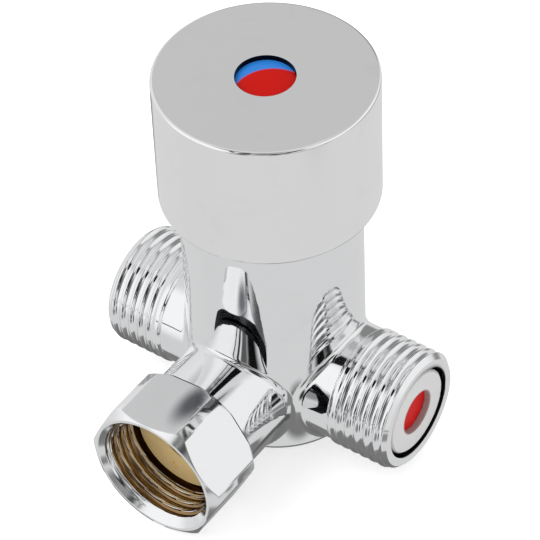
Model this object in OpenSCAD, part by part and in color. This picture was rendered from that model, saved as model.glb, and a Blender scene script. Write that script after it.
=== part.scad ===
// Thermal mixing valve for a hot and a cold supply, with a union nut outlet.
// The origin is the crossing of the three port axes: hot leaves along +X, cold along -X
// and the mixed outlet along -Y. The barrel and the adjusting knob stand along +Z.

/* [Barrel] */
// Outside diameter of the barrel
barrel_d = 29.8; // [29.4:0.1:33]
// Distance from the port axes down to the base of the barrel
base_drop = 9.6; // [9:0.1:12]
// Height of the top face of the barrel above the port axes
barrel_top = 35.8; // [35:0.1:40]
// Thickness of the floor under the mixing chamber
floor_t = 3; // [2:0.1:4]
// Diameter of the mixing chamber around the wax element
chamber_d = 14; // [13.2:0.1:14.8]
// Diameter of the bore that the shuttle slides in
shuttle_bore_d = 18.6; // [18:0.1:19.2]
// Height of the hot seat above the port axes
hot_seat_z = 7; // [6.6:0.1:8]
// Chamfer of the outer edges of the casting
edge = 0.6; // [0.2:0.1:1]

/* [Ports] */
// Major diameter of the G1/2 inlet threads
thread_d = 20.955; // [20.5:0.005:21.4]
// Diameter of the plain stub behind each inlet thread
stub_d = 20.2; // [19.4:0.1:20.9]
// Distance from the centre of the valve to the mouth of each inlet
inlet_reach = 28.3; // [27.6:0.1:32]
// Length of each inlet thread
thread_l = 11.4; // [9:0.1:12.5]
// Diameter of the bay that holds each check valve
bay_d = 16.2; // [15.6:0.1:16.8]
// Depth of each check valve bay
bay_depth = 12.7; // [12.2:0.1:13]
// Diameter of the plain outlet stub
outlet_stub_d = 20.4; // [19:0.1:21]
// Distance from the centre of the valve to the end of the outlet stub
outlet_reach = 23.4; // [22:0.1:27]
// Diameter of the waterway to the outlet
waterway_d = 9.8; // [8:0.1:10.4]
// Diameter of the hole in the sealing face of the tail
orifice_d = 6.4; // [5:0.1:8]

/* [Union nut] */
// Width across the flats of the nut
nut_af = 23; // [22.8:0.1:25]
// Length of the nut
nut_l = 11.7; // [10.5:0.1:14]
// Minor diameter of the G1/2 thread in the nut
nut_minor_d = 18.631; // [18.5:0.001:18.9]
// Thickness of the lip that holds the nut on the tail
nut_lip_t = 1.8; // [1.4:0.1:2.2]
// Angle that the nut is turned from a corner on the X axis
nut_turn = 3.8; // [0:0.1:30]
// Diameter of the tail that the nut swivels on
tail_d = 14.6; // [13.8:0.1:15.2]
// Diameter of the flange of the tail
tail_flange_d = 17.8; // [16.6:0.1:18]
// Thickness of the flange of the tail
tail_flange_t = 1.5; // [1.2:0.1:1.8]

/* [Knob] */
// Diameter of the knob
knob_d = 36; // [34.6:0.1:40]
// Height of the knob
knob_h = 23.3; // [22.8:0.1:26]
// Wall of the knob around its cavity
knob_wall = 2.8; // [2:0.1:3.2]
// Gap between the barrel and the underside of the knob
knob_gap = 0.6; // [0.4:0.1:1]
// Radius of the knob's top edge
knob_edge = 0.5; // [0.2:0.1:1]
// Diameter of the recess for the indicator
recess_d = 9.6; // [8.8:0.1:11]
// Depth of the indicator below the top of the knob
cap_depth = 0.65; // [0.2:0.05:1]
// Thickness of the indicator cap
cap_t = 1.8; // [1.2:0.1:2]

/* [Bonnet and spindle] */
// Outside diameter of the bonnet's screwed body
bonnet_d = 20.9; // [20.2:0.1:21.4]
// Width across the flats of the bonnet
bonnet_af = 24; // [22:0.1:25]
// Height of the bonnet's hexagon
bonnet_hex_h = 4; // [3:0.1:4.6]
// Outside diameter of the bonnet's neck
neck_d = 13.8; // [12.6:0.1:14.4]
// Height of the bonnet's neck above the barrel
neck_h = 10.6; // [10:0.1:11]
// Diameter of the spindle's journal
spindle_d = 8; // [7.4:0.1:8.6]
// Major diameter of the spindle's adjusting thread
screw_d = 5.9; // [5.2:0.1:6.4]
// Number of serrations on the spindle
serrations = 20; // [12:2:24]
// Turn of the knob each way from the middle
knob_turn = 160; // [120:5:160]

/* [Regulator] */
// Outside diameter of the overtravel cup
cup_d = 13.6; // [13.2:0.1:14]
// Height of the overtravel cup
cup_h = 13; // [12.4:0.1:13.4]
// Length of the overtravel spring
overtravel_l = 5.5; // [5:0.1:6]
// Height of the shuttle
shuttle_h = 7.2; // [6.8:0.1:8]
// Opening of each seat at rest
seat_gap = 0.8; // [0.7:0.05:0.95]
// Diameter of the wax capsule
capsule_d = 8.8; // [8:0.1:9.2]
// Diameter of the element's piston
piston_d = 3; // [2.4:0.1:3.4]

/* [Check valves] */
// Diameter of the visible nose of each check valve
nose_d = 15; // [14:0.1:15.6]
// Recess of the nose inside the mouth of the inlet
nose_recess = 0.3; // [0.1:0.1:0.8]
// Diameter of the water opening
opening_d = 7.8; // [7:0.1:8.6]
// Thickness of the seat wall around the opening
seat_wall = 1.1; // [0.9:0.1:1.4]
// Length of the check valve spring
check_spring_l = 5.5; // [5:0.1:6]

/* [Hidden] */
$fn = 96;
eps = 0.01;
fit = 0.05;          // radial clearance of a sliding or running fit
play = 0.1;          // axial play of a part that turns
loose = 0.3;         // clearance between parts that must not touch

// Barrel
base_z = -base_drop;
floor_z = base_z + floor_t;
barrel_r = barrel_d / 2;
bore_r = shuttle_bore_d / 2;
gallery_r = bore_r + 0.8;
gallery_h = 3.8;
land_h = 1.2;
land_r = bore_r - 0.3;
shuttle_z = hot_seat_z + seat_gap;
cold_seat_z = shuttle_z + shuttle_h + seat_gap;
hot_gallery_z = hot_seat_z - land_h;
cold_gallery_z = cold_seat_z;
duct_in = gallery_r + 0.9;
duct_out = max(duct_in + 1.4, barrel_r - 1.7);
duct_angle = 40;
duct_top = 0.7;      // height from the top of a duct to the top of its gallery

// Bonnet, from its skirt up to the knob
thread_bore_r = bonnet_d / 2 + fit;
thread_bore_z = cold_gallery_z + gallery_h + 0.4;
skirt_r = bore_r - 0.7;
screw_z = thread_bore_z + 0.4;
screw_top_z = barrel_top - 2;
neck_top = barrel_top + neck_h;
journal_r = spindle_d / 2;
pocket_z = barrel_top - 2.4;
pocket_top = barrel_top + 0.5;
pocket_r = journal_r + 1.4;
stop_z = barrel_top + bonnet_hex_h;
stop_h = 2.5;
stop_in = neck_d / 2 + 1.3;
stop_out = stop_in + 2.4;
rib_angle = 16;
lug_angle = 2 * (180 - knob_turn - 1) - rib_angle;

// Knob
knob_z = barrel_top + knob_gap;
knob_top = knob_z + knob_h;
knob_r = knob_d / 2;
cavity_r = knob_r - knob_wall;
ceiling_z = knob_top - 3.5;
clip_t = 0.8;
hub_z = neck_top + clip_t + 0.6;
hub_r = journal_r + 3.4;
web_z = hub_z + 4.4;
web_t = 1.8;
recess_z = web_z + web_t;
cap_z = knob_top - cap_depth - cap_t;
screw_head_h = 2.3;
screw_head_r = 3.5;
screw_r = 2;
screw_l = 7;
spindle_top = web_z - 0.2;
tooth = 0.4;
spline_r = journal_r - 0.06;

// Spindle and regulator
flange_z = pocket_top - play - 1.6;
cup_top = flange_z - 3;
cup_z = cup_top - cup_h;
cup_bore_r = cup_d / 2 - 1.4;
cup_roof = 4;
key_w = 2;
key_r = cup_d / 2 + 0.7;
pusher_t = 2;
pusher_z = cup_top - cup_roof - overtravel_l - pusher_t;
clip_z = pusher_z - clip_t - play;
pitch = 1.5;
screw_end = cup_top - cup_roof - 0.4;

// Wax element and shuttle
web_h = 2.6;
shuttle_r = bore_r - fit;
shuttle_in = shuttle_r - 1.35;
shuttle_web_z = shuttle_z + (shuttle_h - web_h) / 2;
element_flange_t = 1.8;
element_flange_z = shuttle_web_z - element_flange_t;
element_flange_r = capsule_d / 2 + 1.4;
capsule_z = floor_z + 1.8;
element_neck_r = 3.4;
stem_r = piston_d / 2 + 1;
stem_top = pusher_z - 1.7;
piston_z = stem_top - 7;
stem_bore_z = piston_z - 1.9;

// Inlets and check valves
thread_r = thread_d / 2;
rim_chamfer = 0.9;
stub_r = stub_d / 2;
bay_r = bay_d / 2;
bay_x = inlet_reach - bay_depth;
inlet_chamber_r = 5.2;
inlet_chamber_x = duct_in - 0.4;
nose_x = inlet_reach - nose_recess;
housing_r = bay_r - fit;
housing_bore_r = 6;
check_seat_x = nose_x - seat_wall;
poppet_t = 1.6;
poppet_r = opening_d / 2 + 1.1;
poppet_x = check_seat_x - 0.02 - poppet_t;
guide_l = 2.6;
guide_x = poppet_x - check_spring_l - guide_l;
check_stem_r = 1.5;
check_coil_r = 3.1;
check_wire = 0.6;
check_seal = 5;                           // from the end of a housing to its seal
check_stem_x = guide_x - 0.2;
shoulder_x = check_seat_x - 2.5;

// Outlet and union nut
outlet_r = outlet_stub_d / 2;
waterway_r = waterway_d / 2;
tail_r = tail_d / 2;
tail_tube_r = waterway_r + 1.55;
tail_depth = 7.9;
nut_z = outlet_reach + 0.2;
nut_end = nut_z + nut_l;
lip_end = nut_z + nut_lip_t;
tail_flange_z = lip_end + 0.2;
tail_end = tail_flange_z + tail_flange_t;
orifice_r = orifice_d / 2;
orifice_l = 1;
punch = [-1.66, -5.64];                   // punch mark on the sealing face
nut_thread_z = tail_end + 0.9;
nut_major_r = thread_r;
nut_relief_r = nut_major_r - 0.35;
mouth_r = thread_r + 0.36;
hex_cut = 0.5;

// O-rings, as section radius
oring = 0.75;

// A round bar from height a to height b
module bar(r, a, b) {
    translate([0, 0, a]) cylinder(r = r, h = b - a);
}

// A round bar with a chamfer c at the end b
module chamfered_bar(r, a, b, c) {
    bar(r, a, b - c);
    translate([0, 0, b - c]) cylinder(r1 = r, r2 = r - c, h = c);
}

// A ring from height a to height b
module ring(r_out, r_in, a, b) {
    difference() {
        bar(r_out, a, b);
        bar(r_in, a - 1, b + 1);
    }
}

// A ring cut to a sector centred on the angle at
module sector(r_out, r_in, a, b, at, wide) {
    rotate([0, 0, at - wide / 2])
        rotate_extrude(angle = wide)
            translate([r_in, a]) square([r_out - r_in, b - a]);
}

// A round seal of section radius s on the pitch radius r, centred at height z
module seal(r, s, z) {
    translate([0, 0, z]) rotate_extrude() translate([r, 0]) circle(r = s, $fn = 32);
}

// An open retaining ring
module snap_ring(r_out, r_in, z) {
    sector(r_out, r_in, z, z + clip_t, 90, 310);
}

// Turns a piece built along Z so that it points along +X or along -Y
module along_x() { rotate([0, 90, 0]) children(); }
module along_outlet() { rotate([90, 0, 0]) children(); }

// Faces of a tube swept through rings of n points each
function tube_faces(rings, n) = concat(
    [for (i = [0:rings - 2], j = [0:n - 1])
        [i * n + j, i * n + (j + 1) % n, (i + 1) * n + (j + 1) % n, (i + 1) * n + j]],
    [[for (j = [n - 1:-1:0]) j]],
    [[for (j = [0:n - 1]) (rings - 1) * n + j]]);

// A compression spring with closed ends, from height 0 to height len
module spring(r, wire, turns, len, per_turn = 20, sides = 8) {
    s = wire / 2;
    rings = turns * per_turn + 1;
    dead = 0.75;
    function rise(t) = t < dead ? t * wire * 0.9
        : t > turns - dead ? len - wire - (turns - t) * wire * 0.9
        : dead * wire * 0.9 + (t - dead) / (turns - 2 * dead)
            * (len - wire - 2 * dead * wire * 0.9);
    points = [for (i = [0:rings - 1], j = [0:sides - 1])
        let (t = i / per_turn, a = 360 * t, b = 360 * j / sides, q = r + s * cos(b))
        [q * cos(a), q * sin(a), s + rise(t) + s * sin(b)]];
    polyhedron(points = points, faces = tube_faces(rings, sides));
}

// The serrated outline shared by the spindle and the knob
module serration(r) {
    polygon([for (i = [0:2 * serrations - 1])
        let (a = 180 * i / serrations, q = i % 2 == 0 ? r : r - tooth)
        [q * cos(a), q * sin(a)]]);
}

// Outside of one inlet: plain stub, thread blank and chamfered end, along +Z
module inlet_blank() {
    start = inlet_reach - thread_l;
    rotate_extrude() polygon([[0, 0], [stub_r, 0], [stub_r, start], [thread_r, start + 0.4],
        [thread_r, inlet_reach - rim_chamfer], [thread_r - rim_chamfer, inlet_reach],
        [0, inlet_reach]]);
}

// Inside of one inlet: check valve bay and the small chamber that feeds the duct
module inlet_bore() {
    bar(bay_r, bay_x, inlet_reach + 1);
    bar(inlet_chamber_r, inlet_chamber_x, bay_x + eps);
}

// Duct that climbs the wall of the casting to the gallery that starts at gallery_z
module duct(at, gallery_z) {
    top = gallery_z + gallery_h - duct_top;
    sector(duct_out, duct_in, 0, top, at, duct_angle);
    sector(duct_in + eps, gallery_r - 0.2, gallery_z + 0.4, top, at, duct_angle - 4);
}

module valve_body() {
    color("silver") difference() {
        union() {
            translate([0, 0, base_z]) cylinder(r1 = barrel_r - edge, r2 = barrel_r, h = edge);
            chamfered_bar(barrel_r, base_z + edge, barrel_top, edge);
            along_x() inlet_blank();
            mirror([1, 0, 0]) along_x() inlet_blank();
            along_outlet() bar(outlet_r, 0, outlet_reach);
        }
        bar(chamber_d / 2, floor_z, hot_seat_z + 1);
        bar(bore_r, hot_seat_z, thread_bore_z);
        ring(gallery_r, land_r, hot_gallery_z, hot_gallery_z + gallery_h);
        bar(gallery_r, cold_gallery_z, thread_bore_z + eps);
        bar(thread_bore_r, thread_bore_z, barrel_top + 1);
        duct(0, hot_gallery_z);
        duct(180, cold_gallery_z);
        along_x() inlet_bore();
        mirror([1, 0, 0]) along_x() inlet_bore();
        along_outlet() bar(waterway_r, chamber_d / 2 - 2, outlet_reach + 1);
        along_outlet() bar(tail_tube_r + fit, outlet_reach - tail_depth, outlet_reach + 1);
    }
}

// Hexagon of the union nut with both ends turned to a chamfer
module nut_blank() {
    corner = nut_af / sqrt(3);
    rise = (corner - nut_af / 2) * 0.58 + 0.1;
    intersection() {
        rotate([0, 0, -nut_turn]) translate([0, 0, nut_z])
            cylinder(r = corner, h = nut_l, $fn = 6);
        rotate_extrude() polygon([[0, nut_z], [nut_af / 2 + 0.3, nut_z],
            [corner - hex_cut, nut_z + rise], [corner - hex_cut, nut_end - rise],
            [nut_af / 2 - 0.1, nut_end], [0, nut_end]]);
    }
}

module union_nut() {
    color("gainsboro") along_outlet() difference() {
        nut_blank();
        bar(tail_r + 0.08, nut_z - 1, lip_end + 1);
        bar(nut_relief_r, lip_end, nut_thread_z);
        bar(nut_minor_d / 2, lip_end, nut_end + 1);
        translate([0, 0, nut_end - (mouth_r - nut_minor_d / 2)])
            cylinder(r1 = nut_minor_d / 2, r2 = mouth_r, h = mouth_r - nut_minor_d / 2 + eps);
    }
}

module outlet_tail() {
    color("goldenrod") along_outlet() difference() {
        union() {
            bar(tail_tube_r, outlet_reach - tail_depth + 0.3, outlet_reach + eps);
            bar(tail_r, outlet_reach, tail_flange_z + eps);
            chamfered_bar(tail_flange_d / 2, tail_flange_z, tail_end, 0.2);
        }
        bar(waterway_r, outlet_reach - tail_depth - 1, tail_end - orifice_l);
        bar(orifice_r, tail_end - orifice_l - eps, tail_end + 1);
        translate(punch) bar(0.5, tail_end - 0.35, tail_end + 1);
    }
}

// Half section of the knob: skirt, roof and hub around the spindle
module knob_profile() {
    difference() {
        union() {
            translate([0, knob_z]) square([knob_r, knob_h - knob_edge]);
            translate([0, knob_z]) square([knob_r - knob_edge, knob_h]);
            translate([knob_r - knob_edge, knob_top - knob_edge]) circle(r = knob_edge, $fn = 48);
        }
        translate([hub_r, knob_z - 1]) square([cavity_r - hub_r, ceiling_z - knob_z + 1]);
        translate([-1, knob_z - 1]) square([hub_r + 1 + eps, hub_z - knob_z + 1]);
        translate([-1, recess_z]) square([recess_d / 2 + 1, knob_top - recess_z + 1]);
        translate([-1, hub_z - 1]) square([3.15, recess_z - hub_z + 2]);
    }
}

module control_knob() {
    color("lightgray") difference() {
        union() {
            rotate_extrude($fn = 180) knob_profile();
            sector(stop_out, stop_in, stop_z + 0.6, ceiling_z + eps, 270, rib_angle);
        }
        translate([0, 0, hub_z - 1]) linear_extrude(web_z - hub_z + 1) serration(spline_r + 0.08);
    }
}

module knob_screw() {
    color("darkgray") difference() {
        union() {
            bar(screw_r, spindle_top - screw_l, recess_z + eps);
            chamfered_bar(screw_head_r, recess_z, recess_z + screw_head_h, 0.4);
        }
        translate([0, 0, recess_z + 0.8]) cylinder(r = 1.5, h = screw_head_h, $fn = 6);
    }
}

// Indicator cap with a slightly domed face and three snap legs
module indicator_cap() {
    cap_r = recess_d / 2 - fit;
    dome = 0.25;
    dome_r = (cap_r * cap_r + dome * dome) / (2 * dome);
    color("firebrick") {
        intersection() {
            bar(cap_r, cap_z, cap_z + cap_t);
            translate([0, 0, cap_z + cap_t - dome_r]) sphere(r = dome_r);
        }
        for (a = [30, 150, 270]) sector(cap_r, cap_r - 0.7, cap_z - 1.4, cap_z + eps, a, 40);
    }
}

module bonnet() {
    color("goldenrod") difference() {
        union() {
            bar(skirt_r, cold_seat_z, screw_z + eps);
            bar(bonnet_d / 2, screw_z, screw_top_z);
            bar(bonnet_d / 2 - 0.6, screw_top_z - eps, barrel_top + eps);
            intersection() {
                translate([0, 0, barrel_top])
                    cylinder(r = bonnet_af / sqrt(3), h = bonnet_hex_h, $fn = 6);
                chamfered_bar(bonnet_af / sqrt(3) - 0.3, barrel_top, stop_z, 0.9);
            }
            bar(neck_d / 2, barrel_top, neck_top);
            sector(stop_out, stop_in - 2, stop_z - eps, stop_z + stop_h, 90, lug_angle);
        }
        bar(cup_d / 2 + fit, cold_seat_z - 1, pocket_z + eps);
        for (side = [0, 1]) rotate([0, 0, 180 * side]) translate([0, -key_w / 2 - 0.1, cold_seat_z - 1])
            cube([key_r + 0.2, key_w + 0.2, pocket_z - cold_seat_z + 1]);
        bar(pocket_r, pocket_z, pocket_top);
        bar(journal_r + fit, pocket_top - eps, neck_top + 1);
        ring(bonnet_d / 2 + 1, bonnet_d / 2 - 2 * oring, screw_z + 1, screw_z + 3);
    }
}

module bonnet_oring() {
    color("dimgray") seal(bonnet_d / 2 - oring + 0.05, oring, screw_z + 2);
}

module spindle() {
    groove_z = neck_top - 5.4;
    color("darkgoldenrod") difference() {
        union() {
            bar(screw_d / 2, screw_end, flange_z + eps);
            bar(pocket_r - loose, flange_z, pocket_top - play);
            bar(journal_r, pocket_top - play - eps, hub_z);
            translate([0, 0, hub_z - 0.3]) linear_extrude(spindle_top - hub_z + 0.3)
                serration(spline_r);
        }
        ring(journal_r + 1, journal_r - 2 * oring, groove_z, groove_z + 2);
        ring(journal_r + 1, journal_r - 0.7, neck_top + play, neck_top + play + clip_t);
        bar(screw_r, spindle_top - screw_l - 1, spindle_top + 1);
    }
}

module spindle_oring() {
    color("dimgray") seal(journal_r - oring + 0.03, oring, neck_top - 4.4);
}

module spindle_clip() {
    color("slategray") snap_ring(journal_r + 1.4, journal_r - 0.7, neck_top + play);
}

module overtravel_cup() {
    color("peru") difference() {
        union() {
            bar(cup_d / 2, cup_z, cup_top);
            for (side = [0, 1]) rotate([0, 0, 180 * side]) translate([0, -key_w / 2, cup_z])
                cube([key_r, key_w, cup_h]);
        }
        bar(cup_bore_r, cup_z - 1, cup_top - cup_roof);
        bar(cup_bore_r + 0.5, clip_z, clip_z + clip_t);
        bar(screw_d / 2 + fit, cup_z, cup_top + 1);
    }
}

module overtravel_spring() {
    color("lightslategray") translate([0, 0, pusher_z + pusher_t])
        spring(cup_bore_r - 1.1, 1, 4, overtravel_l);
}

module overtravel_pusher() {
    color("tan") difference() {
        bar(cup_bore_r - fit, pusher_z, pusher_z + pusher_t);
        bar(piston_d / 2 + 0.1, pusher_z - 1, pusher_z + 0.8);
    }
}

module overtravel_clip() {
    color("slategray") snap_ring(cup_bore_r + 0.45, cup_bore_r - 1, clip_z);
}

module element_piston() {
    color("gray") chamfered_bar(piston_d / 2, piston_z, pusher_z + 0.8, 0.3);
}

// Wax element, turned: capsule, flange, neck and stem, with the bore for the piston
module wax_element() {
    neck_top_z = shuttle_web_z + web_h + 0.6;
    bore = piston_d / 2 + fit;
    color("darkgoldenrod") rotate_extrude() polygon([
        [0, capsule_z], [capsule_d / 2 - 0.8, capsule_z], [capsule_d / 2, capsule_z + 0.8],
        [capsule_d / 2, element_flange_z], [element_flange_r, element_flange_z],
        [element_flange_r, shuttle_web_z], [element_neck_r, shuttle_web_z],
        [element_neck_r, neck_top_z], [stem_r, neck_top_z], [stem_r, stem_top],
        [bore, stem_top], [bore, stem_bore_z], [0, stem_bore_z]]);
}

module shuttle() {
    hole_at = (shuttle_in + element_neck_r) / 2;
    color("ivory") difference() {
        union() {
            ring(shuttle_r, shuttle_in, shuttle_z, shuttle_z + shuttle_h);
            bar(shuttle_in + eps, shuttle_web_z, shuttle_web_z + web_h);
        }
        bar(element_neck_r + 0.02, shuttle_z, shuttle_z + shuttle_h);
        for (a = [0:60:300]) rotate([0, 0, a]) translate([hole_at, 0, 0])
            bar(1.4, shuttle_z, shuttle_z + shuttle_h);
        ring(shuttle_r + 1, shuttle_r - 2 * oring, shuttle_web_z + 0.3, shuttle_web_z + web_h - 0.3);
    }
}

module shuttle_oring() {
    color("dimgray") seal(shuttle_r - oring + 0.02, oring, shuttle_web_z + web_h / 2);
}

module return_spring() {
    color("lightslategray") translate([0, 0, floor_z])
        spring(capsule_d / 2 + 0.95, 1, 7, element_flange_z - floor_z);
}

// Housing of a check valve: nose, seat wall, sleeve and seal groove, along +Z
module check_housing() {
    difference() {
        union() {
            bar(housing_r, bay_x, shoulder_x);
            chamfered_bar(nose_d / 2, shoulder_x - eps, nose_x, 0.3);
        }
        bar(housing_bore_r, bay_x - 1, check_seat_x);
        bar(opening_d / 2, check_seat_x - 1, nose_x + 1);
        ring(housing_r + 1, housing_r - 2 * oring, bay_x + check_seal - 1,
            bay_x + check_seal + 1);
    }
}

module check_poppet() {
    chamfered_bar(poppet_r, poppet_x, poppet_x + poppet_t, 0.3);
    bar(check_stem_r, check_stem_x, poppet_x + eps);
}

module check_spring() {
    translate([0, 0, guide_x + guide_l]) spring(check_coil_r, check_wire, 5, check_spring_l, 16, 6);
}

// Guide of a check valve: rim, three arms and the bush for the stem
module check_guide() {
    bush_r = check_stem_r + 1.1;
    difference() {
        union() {
            ring(housing_bore_r - fit, housing_bore_r - 1.1, guide_x, guide_x + guide_l);
            bar(bush_r, guide_x, guide_x + guide_l);
            for (a = [0:120:240]) rotate([0, 0, a]) translate([0, -0.6, guide_x])
                cube([housing_bore_r - 0.6, 1.2, guide_l - 0.6]);
            ring(bush_r + 1.3, bush_r - eps, guide_x + guide_l - 0.8, guide_x + guide_l);
        }
        bar(check_stem_r + fit, guide_x - 1, guide_x + guide_l + 1);
    }
}

module check_oring() {
    seal(housing_r - oring + 0.02, oring, bay_x + check_seal);
}

module hot_check_housing() { color("whitesmoke") along_x() check_housing(); }
module hot_check_poppet() { color("crimson") along_x() check_poppet(); }
module hot_check_spring() { color("lightslategray") along_x() check_spring(); }
module hot_check_guide() { color("whitesmoke") along_x() check_guide(); }
module hot_check_oring() { color("dimgray") along_x() check_oring(); }
module cold_check_housing() { color("whitesmoke") mirror([1, 0, 0]) along_x() check_housing(); }
module cold_check_poppet() { color("royalblue") mirror([1, 0, 0]) along_x() check_poppet(); }
module cold_check_spring() { color("lightslategray") mirror([1, 0, 0]) along_x() check_spring(); }
module cold_check_guide() { color("whitesmoke") mirror([1, 0, 0]) along_x() check_guide(); }
module cold_check_oring() { color("dimgray") mirror([1, 0, 0]) along_x() check_oring(); }

valve_body();
union_nut();
outlet_tail();
control_knob();
knob_screw();
indicator_cap();
bonnet();
bonnet_oring();
spindle();
spindle_oring();
spindle_clip();
overtravel_cup();
overtravel_spring();
overtravel_pusher();
overtravel_clip();
element_piston();
wax_element();
shuttle();
shuttle_oring();
return_spring();
hot_check_housing();
hot_check_poppet();
hot_check_spring();
hot_check_guide();
hot_check_oring();
cold_check_housing();
cold_check_poppet();
cold_check_spring();
cold_check_guide();
cold_check_oring();
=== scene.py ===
"""Studio dressing for the mixing valve.

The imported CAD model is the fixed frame. This script builds finely modelled pieces for the
metal that shows (casting, inlet threads, union nut, knob) and for the springs, gives the other
CAD nodes their finish, and sets up floor, world, lamp and camera.

Lengths are in millimetres and follow the part's own source; meshes are stored in metres.
+X is the hot inlet, -X the cold inlet, -Y the outlet and +Z the knob.
"""

from __future__ import annotations

import logging
import math

from collections.abc import Callable, Iterable, Sequence
from dataclasses import dataclass, field
from enum import Enum
from functools import cache

import bmesh
import bpy
import numpy as np
from mathutils import Matrix, Vector


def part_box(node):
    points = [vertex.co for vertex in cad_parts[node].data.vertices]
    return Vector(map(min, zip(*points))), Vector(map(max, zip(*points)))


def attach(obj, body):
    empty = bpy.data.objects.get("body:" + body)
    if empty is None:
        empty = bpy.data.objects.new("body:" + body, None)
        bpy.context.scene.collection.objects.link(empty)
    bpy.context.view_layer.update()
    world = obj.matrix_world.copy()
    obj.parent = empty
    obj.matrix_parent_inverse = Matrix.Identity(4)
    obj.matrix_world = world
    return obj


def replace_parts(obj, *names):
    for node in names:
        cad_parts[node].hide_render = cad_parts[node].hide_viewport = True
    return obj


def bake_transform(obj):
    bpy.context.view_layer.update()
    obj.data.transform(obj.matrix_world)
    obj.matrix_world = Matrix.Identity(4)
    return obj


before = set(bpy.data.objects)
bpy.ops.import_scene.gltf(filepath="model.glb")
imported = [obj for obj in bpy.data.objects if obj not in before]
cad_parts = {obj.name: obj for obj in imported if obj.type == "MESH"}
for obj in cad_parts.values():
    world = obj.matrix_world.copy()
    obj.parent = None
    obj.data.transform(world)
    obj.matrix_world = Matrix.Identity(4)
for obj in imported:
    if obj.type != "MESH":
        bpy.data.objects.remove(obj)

MM = 0.001
LOG = logging.getLogger("mixing_valve")
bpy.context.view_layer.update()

Array = np.ndarray
Distance = Callable[[Array], Array]
Pairwise = Callable[[Array, Array], Array]
Profile = list[tuple[float, float]]
Colour = tuple[float, float, float]
BMesh = bmesh.types.BMesh
Ring = list[bmesh.types.BMVert | bmesh.types.BMEdge]
Piece = bpy.types.Object
Node = bpy.types.Node
Socket = bpy.types.NodeSocket


class Heading(Enum):
    """Direction in which a turned piece is laid: quarter turns from +Z, and their axis."""

    UP = (0, "Z")
    HOT = (1, "Y")
    COLD = (-1, "Y")
    OUTLET = (1, "X")

    def matrix(self) -> Matrix:
        """Rotation that carries +Z onto this heading."""
        quarters, axis = self.value
        return Matrix.Rotation(quarters * math.pi / 2, 4, axis)


# --------------------------------------------------------------------------- mesh tools


def node_box(node: str) -> tuple[Vector, Vector]:
    """Lowest and highest corner of a CAD node in millimetres."""
    low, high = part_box(node)
    return low / MM, high / MM


def rounded(corners: Sequence[tuple[float, float, float]], steps: int = 5) -> Profile:
    """Rounds the corners of a closed outline.

    Args:
        corners: radius, height and corner radius of each corner, in order.
        steps: straight pieces in each rounded corner.

    Returns:
        The outline as radius and height pairs.
    """
    outline: Profile = []
    count = len(corners)
    for i, (r, z, blend) in enumerate(corners):
        here = Vector((r, z))
        if blend <= 0:
            outline.append((r, z))
            continue
        before = (Vector(corners[i - 1][:2]) - here).normalized()
        after = (Vector(corners[(i + 1) % count][:2]) - here).normalized()
        half = before.angle(after) / 2
        reach = blend / math.tan(half)
        centre = here + (before + after).normalized() * (blend / math.sin(half))
        start = here + before * reach - centre
        sweep = start.angle_signed(here + after * reach - centre)
        for k in range(steps + 1):
            arm = Matrix.Rotation(-sweep * k / steps, 2) @ start
            outline.append(tuple(centre + arm))
    return outline


def divided(outline: Profile, step: float, keep: Callable[[float, float], bool]) -> Profile:
    """Cuts the long straights of a closed outline into short pieces.

    Args:
        outline: radius and height pairs.
        step: longest piece that may stay.
        keep: tells from the middle of a straight whether it is cut.

    Returns:
        The finer outline.
    """
    finer: Profile = []
    for i, (r, z) in enumerate(outline):
        r_next, z_next = outline[(i + 1) % len(outline)]
        finer.append((r, z))
        if not keep((r + r_next) / 2, (z + z_next) / 2):
            continue
        pieces = math.ceil(math.hypot(r_next - r, z_next - z) / step)
        for k in range(1, pieces):
            share = k / pieces
            finer.append((r + (r_next - r) * share, z + (z_next - z) * share))
    return finer


def turned(outline: Profile, segments: int) -> BMesh:
    """Spins a closed outline about Z.

    Args:
        outline: radius and height pairs in millimetres, none on the axis.
        segments: flats round the circle.

    Returns:
        A closed bmesh in millimetres.
    """
    bm = bmesh.new()
    ring = [bm.verts.new((r, 0.0, z)) for r, z in outline]
    for here, after in zip(ring, ring[1:] + ring[:1]):
        bm.edges.new((here, after))
    bmesh.ops.spin(bm, geom=bm.verts[:] + bm.edges[:], cent=(0, 0, 0), axis=(0, 0, 1),
                   dvec=(0, 0, 0), angle=math.tau, steps=segments, use_merge=True,
                   use_duplicate=False)
    bmesh.ops.remove_doubles(bm, verts=bm.verts, dist=1e-5)
    bmesh.ops.recalc_face_normals(bm, faces=bm.faces)
    return bm


def new_object(bm: BMesh, name: str) -> Piece:
    """Turns a bmesh in millimetres into a smooth-shaded object in metres.

    Args:
        bm: the shape; it is freed.
        name: name of the piece.

    Returns:
        The object, at the origin.
    """
    bmesh.ops.scale(bm, vec=(MM, MM, MM), verts=bm.verts)
    mesh = bpy.data.meshes.new(name)
    bm.to_mesh(mesh)
    bm.free()
    mesh.shade_smooth()
    piece = bpy.data.objects.new(name, mesh)
    bpy.context.scene.collection.objects.link(piece)
    return piece


def apply_modifiers(piece: Piece) -> None:
    """Applies the modifiers of a piece.

    Args:
        piece: the object whose mesh is replaced by its evaluated mesh.
    """
    graph = bpy.context.evaluated_depsgraph_get()
    evaluated = bpy.data.meshes.new_from_object(piece.evaluated_get(graph))
    piece.modifiers.clear()
    piece.data = evaluated


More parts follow.
